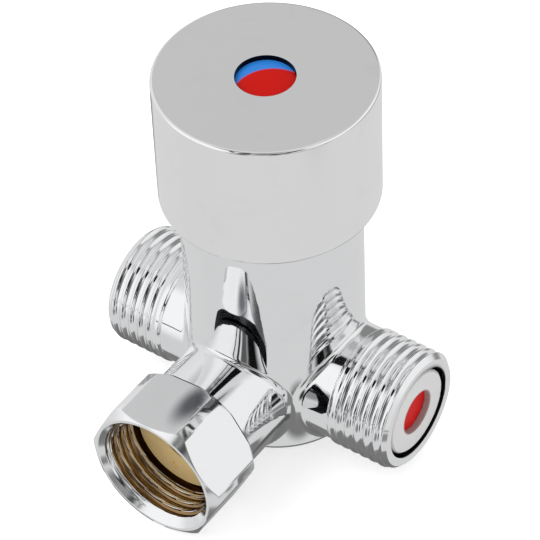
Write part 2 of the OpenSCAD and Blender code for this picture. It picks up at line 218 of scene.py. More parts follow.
def even_normals(piece: Piece, sharp_deg: float = 40.0, weight: int = 100) -> None:
    """Keeps flats flat beside small rounded edges, and edges above an angle crisp.

    Args:
        piece: the object.
        sharp_deg: edges that turn by more than this stay sharp.
        weight: how far large faces win over small ones.
    """
    piece.data.set_sharp_from_angle(angle=math.radians(sharp_deg))
    weighted = piece.modifiers.new("weighted", "WEIGHTED_NORMAL")
    weighted.keep_sharp = True
    weighted.weight = weight
    apply_modifiers(piece)


def vertex_array(mesh: bpy.types.Mesh) -> Array:
    """Vertex positions of a mesh in millimetres, one row each."""
    flat = np.empty(len(mesh.vertices) * 3)
    mesh.vertices.foreach_get("co", flat)
    return flat.reshape(-1, 3) / MM


def set_vertices(mesh: bpy.types.Mesh, points: Array) -> None:
    """Moves the vertices of a mesh to positions in millimetres."""
    mesh.vertices.foreach_set("co", (points * MM).ravel())
    mesh.update()


def shade_with(piece: Piece, normals: Array, chosen: Array) -> None:
    """Gives the chosen faces exact normals and leaves the others as they are.

    Args:
        piece: the object.
        normals: the exact outward normal at each vertex.
        chosen: for each vertex, whether its normal is exact.
    """
    mesh = piece.data
    corners = np.empty(len(mesh.loops) * 3, np.float32)
    mesh.corner_normals.foreach_get("vector", corners)
    corners = corners.reshape(-1, 3)
    vertex_of = np.empty(len(mesh.loops), np.int32)
    mesh.loops.foreach_get("vertex_index", vertex_of)
    sizes = np.empty(len(mesh.polygons), np.int32)
    mesh.polygons.foreach_get("loop_total", sizes)
    face_of = np.repeat(np.arange(len(sizes)), sizes)
    off = np.zeros(len(sizes))
    np.add.at(off, face_of, ~chosen[vertex_of])
    inside = off[face_of] == 0
    corners[inside] = normals[vertex_of[inside]]
    mesh.normals_split_custom_set(corners.tolist())


# ------------------------------------------------------------------------ distance fields


def capped_bar(points: Array, axis: int, radius: float, ends: tuple[float, float],
               edge: float) -> Array:
    """Signed distance to a round bar whose end edges are rounded.

    Args:
        points: positions, one row each.
        axis: 0, 1 or 2 for a bar along X, Y or Z.
        radius: radius of the bar.
        ends: coordinates of its ends.
        edge: radius of the rounded edges.

    Returns:
        Distance of each point, negative inside.
    """
    across = np.delete(points, axis, axis=1)
    side = np.hypot(across[:, 0], across[:, 1]) - radius + edge
    half = (ends[1] - ends[0]) / 2
    end = np.abs(points[:, axis] - (ends[0] + ends[1]) / 2) - half + edge
    outside = np.hypot(np.maximum(side, 0), np.maximum(end, 0))
    return outside + np.minimum(np.maximum(side, end), 0) - edge


def filleted(a: Array, b: Array, radius: float) -> Array:
    """Joins two distance fields with a hollow fillet where they meet."""
    near_a, near_b = np.maximum(radius - a, 0), np.maximum(radius - b, 0)
    return np.maximum(radius, np.minimum(a, b)) - np.hypot(near_a, near_b)


def gradient(distance: Distance, points: Array, step: float = 1e-3) -> Array:
    """Unit gradient of a distance field by central differences.

    Args:
        distance: the field.
        points: positions, one row each.
        step: half the width of a difference.

    Returns:
        One unit vector for each point.
    """
    slopes = np.empty_like(points)
    for axis in range(3):
        shift = np.zeros(3)
        shift[axis] = step
        slopes[:, axis] = distance(points + shift) - distance(points - shift)
    length = np.linalg.norm(slopes, axis=1, keepdims=True)
    return slopes / np.maximum(length, 1e-12)


def settle(distance: Distance, points: Array, rounds: int = 6) -> Array:
    """Moves points onto the surface of a distance field.

    Args:
        distance: the field.
        points: positions, one row each.
        rounds: Newton steps.

    Returns:
        The moved points.
    """
    for _ in range(rounds):
        points = points - gradient(distance, points) * distance(points)[:, None]
    return points


# ------------------------------------------------------------------------------- finishes

ACROSS_X = (0.0, 1.0, 1.0)
ACROSS_Y = (1.0, 0.0, 1.0)
ACROSS_Z = (1.0, 1.0, 0.0)
NEAR_BLACK = (0.012, 0.012, 0.014)
SEAM = 0.04
GRAIN_SPAN = (0.3, 0.7)


def dimmed(tint: Colour, share: float) -> Colour:
    """A darker version of a tint."""
    return tuple(share * level for level in tint)


class NodeSheet:
    """Shader node tree, with short calls that add and link its nodes."""

    def __init__(self, tree: bpy.types.NodeTree) -> None:
        """Starts the sheet by emptying a tree."""
        self.tree = tree
        tree.nodes.clear()

    def put(self, target: Socket, value: object) -> None:
        """Feeds one input.

        Args:
            target: the input.
            value: socket to link, or number, vector or colour to set.
        """
        if isinstance(value, Socket):
            self.tree.links.new(value, target)
        elif target.type == "RGBA":
            target.default_value = (*value, 1.0)
        else:
            target.default_value = value

    def add(self, kind: str, *inputs: object, **values: object) -> Node:
        """Adds a node.

        Args:
            kind: node type.
            *inputs: what feeds its first inputs, in order.
            **values: properties of the node, or inputs when no property has that name.

        Returns:
            The new node.
        """
        node = self.tree.nodes.new(kind)
        for key, value in values.items():
            if hasattr(node, key):
                setattr(node, key, value)
            else:
                self.put(node.inputs[key.replace("_", " ")], value)
        for target, value in zip(node.inputs, inputs):
            self.put(target, value)
        return node

    def math(self, operation: str, *terms: object) -> Socket:
        """Adds a Math node on sockets or numbers and returns its output."""
        return self.add("ShaderNodeMath", *terms, operation=operation).outputs[0]

    def vector(self, operation: str, *terms: object) -> Socket:
        """Adds a Vector Math node on sockets or vectors and returns its output."""
        node = self.add("ShaderNodeVectorMath", *terms, operation=operation)
        return node.outputs["Value" if operation == "LENGTH" else "Vector"]

    def length(self, vector: Socket, part: Sequence[float]) -> Socket:
        """Length of a vector whose components are first multiplied by those of another."""
        return self.vector("LENGTH", self.vector("MULTIPLY", vector, part))

    def remap(self, value: Socket, low: float, high: float, to_low: float = 0.0,
              to_high: float = 1.0, smooth: bool = False) -> Socket:
        """Adds a Map Range node.

        Args:
            value: socket to map.
            low: start of the source range.
            high: end of the source range.
            to_low: start of the target range.
            to_high: end of the target range.
            smooth: eases both ends.

        Returns:
            Its output socket.
        """
        kind = "SMOOTHSTEP" if smooth else "LINEAR"
        node = self.add("ShaderNodeMapRange", value, low, high, to_low, to_high,
                        interpolation_type=kind)
        return node.outputs[0]

    def fade(self, value: Socket, start: float, end: float, full: float = 1.0) -> Socket:
        """A mask that eases from full to 0 while the value passes from start to end."""
        return self.remap(value, start, end, full, 0.0, smooth=True)

    def mix(self, share: Socket, first: Colour | Socket, second: Colour | Socket) -> Socket:
        """Mixes two colours.

        Args:
            share: socket with the share of the second.
            first: colour or socket.
            second: colour or socket.

        Returns:
            The mixed colour.
        """
        node = self.add("ShaderNodeMix", data_type="RGBA")
        for index, value in ((0, share), (6, first), (7, second)):
            self.put(node.inputs[index], value)
        return node.outputs[2]


class GroupSheet(NodeSheet):
    """Sheet of a shared node group that works at a position and a scale."""

    def __init__(self, name: str, outputs: Iterable[str], inputs: Iterable[str] = ()) -> None:
        """Starts the group.

        Args:
            name: name of the group.
            outputs: names of the numbers that it gives.
            inputs: names of the numbers that it takes beside Position and Scale.
        """
        tree = bpy.data.node_groups.new(name, "ShaderNodeTree")
        tree.interface.new_socket("Position", in_out="INPUT", socket_type="NodeSocketVector")
        for way, labels in (("INPUT", ("Scale", *inputs)), ("OUTPUT", outputs)):
            for label in labels:
                tree.interface.new_socket(label, in_out=way, socket_type="NodeSocketFloat")
        super().__init__(tree)
        self.given = self.add("NodeGroupInput").outputs
        self.out = self.add("NodeGroupOutput").inputs

    def noise(self, **values: object) -> Socket:
        """Adds noise at the group's position and scale and returns its output."""
        return self.add("ShaderNodeTexNoise", **values, Vector=self.given["Position"],
                        Scale=self.given["Scale"]).outputs[0]


@cache
def handling_marks() -> bpy.types.NodeTree:
    """Smudges from handling.

    Returns:
        A group with a position, scale and seed in, and a smudge mask out.
    """
    sheet = GroupSheet("handling_marks", ["Smudge"], ["Seed"])
    cloud = sheet.noise(noise_dimensions="4D", W=sheet.given["Seed"], Detail=4.0,
                        Roughness=0.55, Distortion=0.6)
    sheet.put(sheet.out["Smudge"], sheet.remap(cloud, 0.5, 0.78, smooth=True))
    return sheet.tree


@cache
def polish_ripple() -> bpy.types.NodeTree:
    """Slow ripple that hand polishing leaves on a plated casting.

    Returns:
        A group with a position and scale in, and a height out.
    """
    sheet = GroupSheet("polish_ripple", ["Height"])
    sheet.put(sheet.out["Height"], sheet.noise(Detail=1.0, Roughness=0.4, Distortion=0.4))
    return sheet.tree


@cache
def fine_grain() -> bpy.types.NodeTree:
    """Fine grain of blasted metal or moulded plastic.

    Returns:
        A group with a position and scale in, and a height and speckle mask out.
    """
    sheet = GroupSheet("fine_grain", ["Height", "Speckle"])
    sheet.put(sheet.out["Height"], sheet.noise(Detail=3.0, Roughness=0.7))
    quarter = sheet.math("MULTIPLY", sheet.given["Scale"], 0.25)
    pits = sheet.add("ShaderNodeTexVoronoi", feature="F1", Vector=sheet.given["Position"],
                     Scale=quarter)
    sheet.put(sheet.out["Speckle"], sheet.remap(pits.outputs["Distance"], 0.05, 0.16, 1.0, 0.0))
    return sheet.tree


class MaterialSheet(NodeSheet):
    """Sheet of a new material."""

    def __init__(self, name: str) -> None:
        """Starts the material under a name, with its output."""
        self.material = bpy.data.materials.new(name)
        self.material.use_nodes = True
        super().__init__(self.material.node_tree)
        self.surface = self.add("ShaderNodeOutputMaterial").inputs["Surface"]


class Coat(MaterialSheet):
    """Sheet of a Principled surface, with the object position in millimetres."""

    def __init__(self, name: str) -> None:
        """Starts the material under a name, with its shader and its position."""
        super().__init__(name)
        self.shader = self.add("ShaderNodeBsdfPrincipled")
        self.put(self.surface, self.shader.outputs[0])
        place = self.add("ShaderNodeTexCoord").outputs["Object"]
        self.position = self.add("ShaderNodeMapping", place, Scale=(1 / MM,) * 3).outputs[0]

    @property
    def colour(self) -> Socket:
        """What feeds the base colour so far."""
        return self.shader.inputs["Base Color"].links[0].from_socket

    def feed(self, **values: object) -> None:
        """Feeds inputs of the shader with sockets or constants."""
        for key, value in values.items():
            self.put(self.shader.inputs[key.replace("_", " ")], value)

    def group(self, maker: Callable[[], bpy.types.NodeTree],
              **values: float) -> bpy.types.NodeOutputs:
        """Places a shared group at the position, with its other inputs set."""
        return self.add("ShaderNodeGroup", node_tree=maker(), Position=self.position,
                        **values).outputs

    def bump(self, *layers: tuple[Socket, float]) -> None:
        """Stacks bump layers into the shader's normal.

        Args:
            *layers: height socket and depth in millimetres of each layer.
        """
        below = {}
        for height, depth in layers:
            node = self.add("ShaderNodeBump", Distance=depth * MM, Height=height, **below)
            below = {"Normal": node.outputs[0]}
        self.feed(**below)


@dataclass(frozen=True)
class Finish:
    """Base of all finishes: one material with object coordinates in millimetres."""

    name: str

    def material(self) -> bpy.types.Material:
        """Returns the finish's material, built on first use."""
        found = bpy.data.materials.get(self.name)
        if found:
            return found
        sheet = Coat(self.name)
        self.paint(sheet)
        return sheet.material

    def paint(self, sheet: Coat) -> None:
        """Fills in the shader of the finish's sheet."""
        raise NotImplementedError

    def dress(self, piece: Piece) -> None:
        """Gives a piece this finish in all its slots.

        Args:
            piece: object to dress.
        """
        if not piece.material_slots:
            piece.data.materials.append(None)
        for slot in piece.material_slots:
            slot.material = self.material()


@dataclass(frozen=True)
class Worn(Finish):
    """Surface that is duller and rougher where it was handled."""

    tint: Colour
    worn: float = 0.8
    tarnish: Colour | None = None
    metallic: float = 1.0
    roughness: float = 0.2
    smudge: float = 0.14
    marks_scale: float = 0.6
    marks_seed: float = 3.3
    ripple: float = 0.0
    ripple_scale: float = 0.35
    grain: float = 0.003
    grain_scale: float = 6.0
    line_depth: float = 0.0
    line_pitch: float = 0.22

    def paint(self, sheet: Coat) -> None:
        """Fills in the shader; see the base class."""
        marks = sheet.group(handling_marks, Scale=self.marks_scale, Seed=self.marks_seed)
        smudge = marks["Smudge"]
        shade = self.tarnish or dimmed(self.tint, self.worn)
        sheet.feed(Metallic=self.metallic, Base_Color=sheet.mix(smudge, self.tint, shade),
                   Roughness=sheet.remap(smudge, 0.0, 1.0, self.roughness,
                                         self.roughness + self.smudge))
        layers = []
        if self.ripple:
            wave = sheet.group(polish_ripple, Scale=self.ripple_scale)
            layers.append((wave["Height"], self.ripple))
        if self.grain:
            fine = sheet.group(fine_grain, Scale=self.grain_scale)
            layers.append((fine["Height"], self.grain))
        if self.line_depth:
            reach = sheet.length(sheet.position, ACROSS_Y)
            lines = sheet.math("MULTIPLY", reach, math.tau / self.line_pitch)
            layers.append((sheet.math("SINE", lines), self.line_depth))
        sheet.bump(*layers)


@dataclass(frozen=True)
class Chrome(Worn):
    """Bright chrome plate over a polished or turned surface."""

    tint: Colour = (0.90, 0.905, 0.915)
    worn: float = 0.96
    roughness: float = 0.035
    smudge: float = 0.05
    marks_scale: float = 0.16
    marks_seed: float = 1.7
    ripple: float = 0.012
    grain: float = 0.0
    grain_scale: float = 7.0


@dataclass(frozen=True)
class ShadedBoreChrome(Chrome):
    """Chrome over a piece whose bore about one axis is painted a darker colour as painted shade,
    and whose part behind a heel depth is painted near black as painted shade.
    """

    across: tuple[float, float, float] = ACROSS_Z
    bore_r: float = 4.84
    land_r: float = 0.0
    front: float = 100.0
    heel: float = 0.0
    # colour painted into the bore as painted shade
    bore_shade: Colour = NEAR_BLACK

    def paint(self, sheet: Coat) -> None:
        """Fills in the shader; see the base class."""
        super().paint(sheet)
        # Painted shade: between the land radius and the bore radius, short of the front depth,
        # the bore takes the bore shade colour.
        reach = sheet.length(sheet.position, self.across)
        depth = sheet.length(sheet.position, [1.0 - share for share in self.across])
        bore = sheet.fade(reach, self.bore_r, self.bore_r + SEAM)
        behind_front = sheet.fade(depth, self.front - SEAM, self.front)
        past_land = sheet.remap(reach, self.land_r - SEAM, self.land_r, smooth=True)
        shaded_bore = sheet.math("MULTIPLY", sheet.math("MULTIPLY", bore, behind_front), past_land)
        colour = sheet.mix(shaded_bore, sheet.colour, self.bore_shade)
        # Painted shade: everything behind the heel depth is painted near black.
        if self.heel:
            behind = sheet.fade(depth, self.heel - SEAM, self.heel)
            colour = sheet.mix(behind, colour, NEAR_BLACK)
        sheet.feed(Base_Color=colour)


@dataclass(frozen=True)
class ReflectionPatchChrome(ShadedBoreChrome):
    """Shaded-bore chrome with one soft dark patch painted on as a painted reflection, lighter
    where the plating is pitted.
    """

    # place, size, colour and fade of the painted dark reflection
    reflection_at: tuple[float, float, float] = (2.9, -27.2, 11.3)
    reflection_half: tuple[float, float, float] = (2.6, 6.0, 3.0)
    painted_reflection: Colour = (0.13, 0.135, 0.15)
    reflection_fade: tuple[float, float] = (0.25, 1.2)
    reflection_density: float = 0.95
    pit_density: float = 0.55

    def paint(self, sheet: Coat) -> None:
        """Fills in the shader; see the base class."""
        super().paint(sheet)
        # Painted reflection: a soft dark patch about a point, thinned out by the pits of the
        # plating.
        off = sheet.vector("SUBTRACT", sheet.position, self.reflection_at)
        reach = sheet.length(off, [1 / half for half in self.reflection_half])
        speckle = sheet.group(fine_grain, Scale=2.0)["Speckle"]
        reflection_and_pits = sheet.math("MULTIPLY", sheet.fade(reach, *self.reflection_fade, self.reflection_density),
                           sheet.remap(speckle, 0.0, 1.0, 1.0, self.pit_density, smooth=True))
        sheet.feed(Base_Color=sheet.mix(reflection_and_pits, sheet.colour, self.painted_reflection))


@dataclass(frozen=True)
class Plastic(Finish):
    """Moulded plastic with a fine grain and slight depth, and painted shade on the wall of a
    bore about X when a throat radius is given.
    """

    tint: Colour
    pit_shade: float = 0.9
    roughness: tuple[float, float] = (0.30, 0.43)
    depth: float = 0.0
    gloss: float = 0.5
    grain: float = 0.004
    throat_r: float = 0.0
    throat_blur: float = 0.3
    # grey painted on the wall of the bore as painted shade
    throat_shade: Colour = (0.42, 0.38, 0.37)

    def paint(self, sheet: Coat) -> None:
        """Fills in the shader; see the base class."""
        fine = sheet.group(fine_grain, Scale=3.0)
        colour = sheet.mix(fine["Speckle"], self.tint, dimmed(self.tint, self.pit_shade))
        # Painted shade: the wall of the bore about X is painted darker.
        if self.throat_r:
            reach = sheet.length(sheet.position, ACROSS_X)
            inner = sheet.fade(reach, self.throat_r, self.throat_r + self.throat_blur)
            colour = sheet.mix(inner, colour, self.throat_shade)
        sheet.feed(Base_Color=colour, Specular_IOR_Level=self.gloss,
                   Roughness=sheet.remap(fine["Height"], *GRAIN_SPAN, *self.roughness))
        if self.depth:
            sheet.feed(Subsurface_Weight=0.6, Subsurface_Radius=(1.0, 0.95, 0.9),
                       Subsurface_Scale=self.depth * MM)
        sheet.bump((fine["Height"], self.grain))


@dataclass(frozen=True)
class TwoToneCap(Finish):
    """Glossy indicator cap printed hot red with a cold blue crescent."""

    hot: Colour = (0.62, 0.006, 0.003)
    cold: Colour = (0.035, 0.25, 0.78)
    arc_centre: tuple[float, float, float] = (3.43, -2.74, 0.0)
    arc_r: float = 6.7
    blur: float = 0.25
    roughness: tuple[float, float] = (0.10, 0.16)
    gloss: float = 0.12
    grain: float = 0.004

    def paint(self, sheet: Coat) -> None:
        """Fills in the shader; see the base class."""
        off = sheet.vector("SUBTRACT", sheet.position, self.arc_centre)
        share = sheet.remap(sheet.length(off, ACROSS_Z), self.arc_r - self.blur,
                            self.arc_r + self.blur, smooth=True)
        height = sheet.group(fine_grain, Scale=1.5)["Height"]
        sheet.feed(Base_Color=sheet.mix(share, self.hot, self.cold),
                   Specular_IOR_Level=self.gloss,
                   Roughness=sheet.remap(height, *GRAIN_SPAN, *self.roughness))
        sheet.bump((height, self.grain))


BODY_CHROME = Chrome("body_chrome")
# Inlet ends: the bay wall inside each port is painted near black as painted shade around the
# check-valve insert.
PORT_CHROME = ShadedBoreChrome("port_chrome", across=ACROSS_X, bore_r=8.14)
# Nut: the thread grooves and relief bore are painted a dark brown, bare brass darkened as
# painted shade; the back face, which faces the casting, is painted near black behind the heel as
# painted shade; one flat carries a painted dark reflection, thinned out by real pits.
NUT_CHROME = ReflectionPatchChrome("nut_chrome", roughness=0.13, ripple=0.006, grain=0.0015,
                         across=ACROSS_Y, bore_r=10.3, land_r=9.6, front=33.9, heel=23.8,
                         bore_shade=(0.33, 0.21, 0.10))
# Knob: the recess wall, its floor and the bores below, everything within the recess radius, are
# painted near black as painted shade.
KNOB_CHROME = ShadedBoreChrome("knob_chrome_satin", tint=(0.94, 0.94, 0.945), roughness=0.07,
                          smudge=0.04, ripple=0.004, grain=0.001)
BARE_BRASS = Worn("bare_brass_machined", tint=(1.0, 0.74, 0.34), tarnish=(0.92, 0.60, 0.24),
                  metallic=0.15, roughness=0.3, smudge=0.15, marks_scale=0.3, marks_seed=4.2,
                  grain=0.006, grain_scale=4.0, line_depth=0.011)
# Check-valve inserts: the wall of the aperture is painted grey as painted shade.
WHITE_PLASTIC = Plastic("white_plastic_moulded", tint=(0.86, 0.855, 0.85), depth=1.0,
                        throat_r=3.92)
PALE_PLASTIC = Plastic("pale_plastic_moulded", tint=(0.72, 0.70, 0.64))
RED_PLASTIC = Plastic("red_plastic_moulded", tint=(0.75, 0.008, 0.008), gloss=0.12)
BLUE_PLASTIC = Plastic("blue_plastic_moulded", tint=(0.03, 0.15, 0.62), gloss=0.2)
SEAL_RUBBER = Worn("seal_rubber_black", tint=(0.02, 0.02, 0.021), tarnish=(0.05, 0.05, 0.052),
                   metallic=0.0, roughness=0.5, smudge=0.2, marks_scale=0.5, marks_seed=2.1,
                   grain=0.0)
SPRING_WIRE = Worn("spring_wire_drawn", tint=(0.62, 0.61, 0.59))
PLATED_STEEL = Worn("plated_steel", tint=(0.70, 0.70, 0.71))
CAP_PRINT = TwoToneCap("indicator_print")


# ---------------------------------------------------------------------------- assemblies


def soft_min(a: Array, b: Array, width: float = 0.12) -> Array:
    """Smallest of two fields, eased where they cross within a width."""
    ease = np.maximum(width - np.abs(a - b), 0) / width
    return np.minimum(a, b) - ease * ease * width / 4


def eased(share: Array) -> Array:
    """Share clipped to 0 to 1, with both ends eased."""
    share = np.clip(share, 0, 1)
    return share * share * (3 - 2 * share)


@dataclass
class Thread:
    """Parallel pipe thread as plating leaves it: shallow round grooves between narrow lands."""

    major_d: float = 20.955
    pitch: float = 1.814
    land: float = 0.3
    depth: float = 0.42
    ease: float = 0.16

    def drop(self, z: Array, turn: Array, phase: float = 0.0) -> Array:
        """How far the form lies from the lands.

        Args:
            z: distance along the axis.
            turn: angle round the axis in radians.
            phase: turns by which the thread is advanced.

        Returns:
            Depth of the groove there.
        """
        half = self.pitch / 2
        along = z - self.pitch * (turn / math.tau + phase)
        v = half - np.abs((along + half) % self.pitch - half)
        width = half - self.land / 2
        sweep = (width**2 + self.depth**2) / (2 * self.depth)
        arc = self.depth - sweep + np.sqrt(np.maximum(sweep**2 - v**2, 0))
        return -soft_min(-arc, np.zeros_like(arc), self.ease)


@dataclass
class Relief:
    """Turned surface whose radius changes with height and angle."""

    radius: Pairwise
    zone: Pairwise
    outward: float = 1.0
    shade: Pairwise | None = None

    def carve(self, piece: Piece) -> tuple[Array, Array]:
        """Moves the zone's vertices to their radius.

        Args:
            piece: turned piece about Z.

        Returns:
            Exact normals, and which vertices they belong to.
        """
        points = vertex_array(piece.data)
        r, turn = np.hypot(points[:, 0], points[:, 1]), np.arctan2(points[:, 1], points[:, 0])
        z = points[:, 2]
        chosen = self.zone(r, z)
        r_new = np.where(chosen, self.radius(z, turn), r)
        points[:, 0], points[:, 1] = r_new * np.cos(turn), r_new * np.sin(turn)
        set_vertices(piece.data, points)
        step, shade = 1e-3, self.shade or self.radius
        rise = (shade(z + step, turn) - shade(z - step, turn)) / (2 * step)
        lean = (shade(z, turn + step) - shade(z, turn - step)) / (2 * step)
        lean = lean / np.maximum(r_new, 1.0)
        normals = np.stack([np.cos(turn) + lean * np.sin(turn),
                            np.sin(turn) - lean * np.cos(turn), -rise], axis=1) * self.outward
        return normals / np.linalg.norm(normals, axis=1, keepdims=True), chosen


def lay(piece: Piece, heading: Heading) -> None:
    """Turns a piece made about Z to its heading, mesh and normals together."""
    piece.data.transform(heading.matrix())
    piece.data.update()


@dataclass
class Casting:
    """Chromed body casting with its barrel, inlet stubs and outlet stub."""

    barrel_r: float = 14.9
    base_z: float = -9.6
    barrel_edge: float = 0.6
    inlet_stub_r: float = 10.1
    inlet_stub_end: float = 17.25
    outlet_stub_r: float = 10.2
    outlet_reach: float = 23.4
    outlet_edge: float = 0.25
    fillet: float = 0.9
    voxel: float = 0.32
    smooth_rounds: int = 2
    smooth_share: float = 0.5
    segments: int = 128
    chamber_r: float = 7.0
    floor_z: float = -6.6
    seat_z: float = 7.0
    shuttle_bore_r: float = 9.3
    bonnet_bore_z: float = 20.0
    bonnet_bore_r: float = 10.55
    bay_r: float = 8.1
    bay_x: float = 15.6
    inlet_chamber_r: float = 5.2
    inlet_chamber_x: float = 10.6
    waterway_r: float = 4.9
    socket_r: float = 6.5
    socket_y: float = 15.5
    waterway_y: float = 5.0
    overshoot: float = 1.0
    skin_tolerance: float = 2e-3
    top_z: float = field(init=False)

    def __post_init__(self) -> None:
        """Reads the height of the barrel from the frame."""
        self.top_z = node_box("valve_body")[1].z

    def distance(self, points: Array) -> Array:
        """Signed distance to the outside of the casting.

        Args:
            points: positions, one row each.

        Returns:
            Distance of each point, negative inside.
        """
        end = self.inlet_stub_end
        shell = capped_bar(points, 2, self.barrel_r, (self.base_z, self.top_z), self.barrel_edge)
        inlets = capped_bar(points, 0, self.inlet_stub_r, (-end, end), self.outlet_edge)
        outlet = capped_bar(points, 1, self.outlet_stub_r, (-self.outlet_reach, 0.0),
                            self.outlet_edge)
        return filleted(filleted(shell, inlets, self.fillet), outlet, self.fillet)

    def bar(self, bm: BMesh, radius: float, start: float, end: float,
            heading: Heading = Heading.UP) -> None:
        """Adds a closed round bar.

        Args:
            bm: receives the bar.
            radius: its radius.
            start: distance of its near end from the crossing of the ports.
            end: distance of its far end.
            heading: direction of its axis.
        """
        place = heading.matrix() @ Matrix.Translation((0, 0, (start + end) / 2))
        bmesh.ops.create_cone(bm, cap_ends=True, segments=self.segments, radius1=radius,
                              radius2=radius, depth=end - start, matrix=place)

    def blank(self) -> Piece:
        """Joins the plain bars and remeshes them as one even skin."""
        bm = bmesh.new()
        self.bar(bm, self.barrel_r, self.base_z, self.top_z)
        end = self.inlet_stub_end
        self.bar(bm, self.inlet_stub_r, -end, end, Heading.HOT)
        self.bar(bm, self.outlet_stub_r, 0.0, self.outlet_reach, Heading.OUTLET)
        piece = new_object(bm, "valve_casting")
        remesh = piece.modifiers.new("skin", "REMESH")
        remesh.mode = "VOXEL"
        remesh.voxel_size = self.voxel * MM
        apply_modifiers(piece)
        return piece

    def settle_skin(self, piece: Piece) -> None:
        """Evens out the skin and brings it onto the exact filleted shape.

        Args:
            piece: the remeshed blank.
        """
        mesh = piece.data
        for _ in range(self.smooth_rounds):
            set_vertices(mesh, settle(self.distance, vertex_array(mesh)))
            bm = bmesh.new()
            bm.from_mesh(mesh)
            bmesh.ops.smooth_vert(bm, verts=bm.verts, factor=self.smooth_share, use_axis_x=True,
                                  use_axis_y=True, use_axis_z=True)
            bm.to_mesh(mesh)
            bm.free()
        set_vertices(mesh, settle(self.distance, vertex_array(mesh)))

    def bore(self, piece: Piece) -> None:
        """Cuts the bores of the ports, the chamber and the cartridge.

        Args:
            piece: the settled skin.
        """
        cuts = [
            (self.chamber_r, self.floor_z, self.seat_z, Heading.UP),
            (self.shuttle_bore_r, self.seat_z, self.bonnet_bore_z, Heading.UP),
            (self.bonnet_bore_r, self.bonnet_bore_z, self.top_z, Heading.UP),
            (self.waterway_r, self.waterway_y, self.outlet_reach, Heading.OUTLET),
            (self.socket_r, self.socket_y, self.outlet_reach, Heading.OUTLET),
        ]
        for side in (Heading.HOT, Heading.COLD):
            cuts.append((self.inlet_chamber_r, self.inlet_chamber_x, self.bay_x, side))
            cuts.append((self.bay_r, self.bay_x, self.inlet_stub_end, side))
        cutters = []
        for i, (radius, start, end, heading) in enumerate(cuts):
            bm = bmesh.new()
            self.bar(bm, radius, start, end + self.overshoot, heading)
            cutter = new_object(bm, f"cutter_{i}")
            cut = piece.modifiers.new(cutter.name, "BOOLEAN")
            cut.operation, cut.solver, cut.object = "DIFFERENCE", "MANIFOLD", cutter
            cutters.append(cutter)
        apply_modifiers(piece)
        for cutter in cutters:
            bpy.data.objects.remove(cutter)

    def build(self) -> Piece:
        """Builds the casting and lets it stand for the CAD body."""
        piece = self.blank()
        self.settle_skin(piece)
        self.bore(piece)
        piece.data.shade_smooth()
        even_normals(piece)
        points = vertex_array(piece.data)
        on_skin = np.abs(self.distance(points)) < self.skin_tolerance
        shade_with(piece, gradient(self.distance, points), on_skin)
        BODY_CHROME.dress(piece)
        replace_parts(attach(piece, "valve"), "valve_body")
        return piece


@dataclass
class InletThread:
    """Threaded end of one inlet, with its chamfered rim."""

    heading: Heading
    thread: Thread = field(default_factory=Thread)
    stub_r: float = 10.1
    bay_r: float = 8.1
    start: float = 17.0
    reach: float = 28.3
    shoulder: float = 0.45
    runout_start: float = 17.6
    runout: float = 1.9
    chamfer: float = 0.9
    phase: float = 0.0
    rim_edge: float = 0.18
    step: float = 0.06
    margin: float = 0.02
    segments: int = 300

    def radius(self, z: Array, turn: Array) -> Array:
        """Radius of the threaded surface.

        Args:
            z: distance along the port.
            turn: angle round the port in radians.

        Returns:
            The radius at each place.
        """
        major = self.thread.major_d / 2
        blank = self.stub_r + (major - self.stub_r) * eased((z - self.start) / self.shoulder)
        deep = eased((z - self.runout_start) / self.runout)
        cut = blank - deep * self.thread.drop(z, turn, self.phase)
        return soft_min(cut, major - self.chamfer + (self.reach - z))

    def zone(self, r: Array, z: Array) -> Array:
        """Vertices that lie on the threaded surface."""
        outer = r > self.thread.major_d / 2 - self.chamfer - self.margin
        return outer & (z < self.reach - self.margin)

    def build(self) -> Piece:
        """Builds the threaded end."""
        major = self.thread.major_d / 2
        outline = rounded([
            (self.bay_r, self.start, 0.0),
            (major, self.start, 0.0),
            (major, self.reach - self.chamfer, 0.0),
            (major - self.chamfer, self.reach, 0.0),
            (self.bay_r, self.reach, self.rim_edge),
        ])
        outline = divided(outline, self.step, lambda r, z: r > major - self.chamfer)
        name = f"{self.heading.name.lower()}_inlet_thread"
        piece = new_object(turned(outline, self.segments), name)
        normals, chosen = Relief(self.radius, self.zone).carve(piece)
        even_normals(piece)
        shade_with(piece, normals, chosen)
        lay(piece, self.heading)
        PORT_CHROME.dress(piece)
        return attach(piece, "valve")


